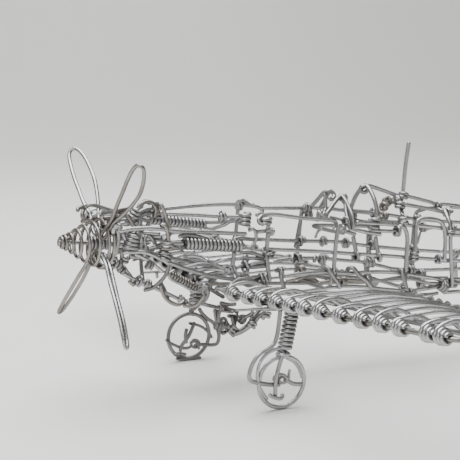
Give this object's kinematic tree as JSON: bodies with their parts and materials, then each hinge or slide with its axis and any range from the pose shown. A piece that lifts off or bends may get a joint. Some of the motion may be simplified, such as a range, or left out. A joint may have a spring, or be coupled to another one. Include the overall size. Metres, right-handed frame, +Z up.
{
  "type": "wire aeroplane sculpture",
  "caption": "Wire sculpture of a propeller fighter aeroplane: open fuselage, ribbed wings, looped propeller and wire wheels, standing on its wheels.",
  "frame": {"origin": "middle of the underside of the part's box, on the surface that the wheels stand on", "axes": "+X from the nose to the tail, +Y to the aeroplane's starboard side, +Z up"},
  "size_m": [0.3084, 0.3616, 0.1125],
  "materials": {
    "aluminium_wire": "satin drawn wire, softly bright on top and grey in the shade"
  },
  "bodies": {
    "root": {"belly_scoop": "aluminium_wire", "canopy_arch": "aluminium_wire", "canopy_rail": "aluminium_wire", "chin_hoop": "aluminium_wire", "chin_keel": "aluminium_wire", "chin_rail_port": "aluminium_wire", "chin_rail_starboard": "aluminium_wire", "cockpit_hoop": "aluminium_wire", "cockpit_rail": "aluminium_wire", "cowl_ring": "aluminium_wire", "engine_arch": "aluminium_wire", "engine_coil": "aluminium_wire", "engine_hoop": "aluminium_wire", "engine_rail_port": "aluminium_wire", "engine_rail_starboard": "aluminium_wire", "exhaust_coil_port": "aluminium_wire", "exhaust_coil_starboard": "aluminium_wire", "fin": "aluminium_wire", "firewall_hoop": "aluminium_wire", "gun_barrel_port": "aluminium_wire", "gun_barrel_starboard": "aluminium_wire", "leg_fork_port": "aluminium_wire", "leg_fork_starboard": "aluminium_wire", "leg_spring_port": "aluminium_wire", "leg_spring_starboard": "aluminium_wire", "lower_longeron_port": "aluminium_wire", "lower_longeron_starboard": "aluminium_wire", "mast": "aluminium_wire", "middle_longeron_port": "aluminium_wire", "middle_longeron_starboard": "aluminium_wire", "propeller_blade_1": "aluminium_wire", "propeller_blade_2": "aluminium_wire", "propeller_blade_3": "aluminium_wire", "propeller_blade_4": "aluminium_wire", "propeller_shaft": "aluminium_wire", "quarter_frame_port": "aluminium_wire", "quarter_frame_starboard": "aluminium_wire", "rear_hoop": "aluminium_wire", "rudder": "aluminium_wire", "side_window": "aluminium_wire", "spine": "aluminium_wire", "spinner_spiral": "aluminium_wire", "tail_hoop": "aluminium_wire", "tail_leg": "aluminium_wire", "tail_wheel": "aluminium_wire", "tailplane_frame": "aluminium_wire", "tailplane_ribs": "aluminium_wire", "upper_longeron_port": "aluminium_wire", "upper_longeron_starboard": "aluminium_wire", "wheel_port": "aluminium_wire", "wheel_starboard": "aluminium_wire", "windscreen_frame": "aluminium_wire", "windscreen_hoop": "aluminium_wire", "wing_brace_port": "aluminium_wire", "wing_brace_starboard": "aluminium_wire", "wing_frame_port": "aluminium_wire", "wing_frame_starboard": "aluminium_wire", "wing_ribs_port": "aluminium_wire", "wing_ribs_starboard": "aluminium_wire", "wing_spar": "aluminium_wire"}
  },
  "joints": []
}
